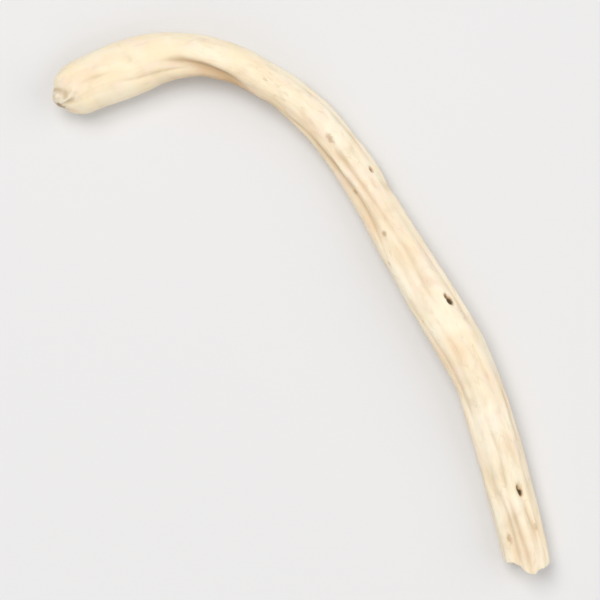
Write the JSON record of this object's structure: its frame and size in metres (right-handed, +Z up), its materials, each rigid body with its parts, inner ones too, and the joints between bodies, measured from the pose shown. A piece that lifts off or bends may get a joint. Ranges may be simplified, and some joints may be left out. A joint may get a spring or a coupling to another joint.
{
  "type": "dried safed musli root",
  "caption": "Dried, peeled safed musli root: a slim cream-coloured tuber with a rounded tail end, a bend, lengthwise furrows and a broken crown end.",
  "frame": {"origin": "centre of the bounding box, at the surface that the root lies on", "axes": "+X along the chord from the tail tip to the broken crown end, +Y towards the outside of the bend, +Z up from the surface"},
  "size_m": [0.0741, 0.0215, 0.0053],
  "materials": {
    "dried_root_flesh": "matt and slightly waxy, with fine lengthwise wrinkles"
  },
  "bodies": {
    "root": {"musli_root": "dried_root_flesh"}
  },
  "joints": []
}
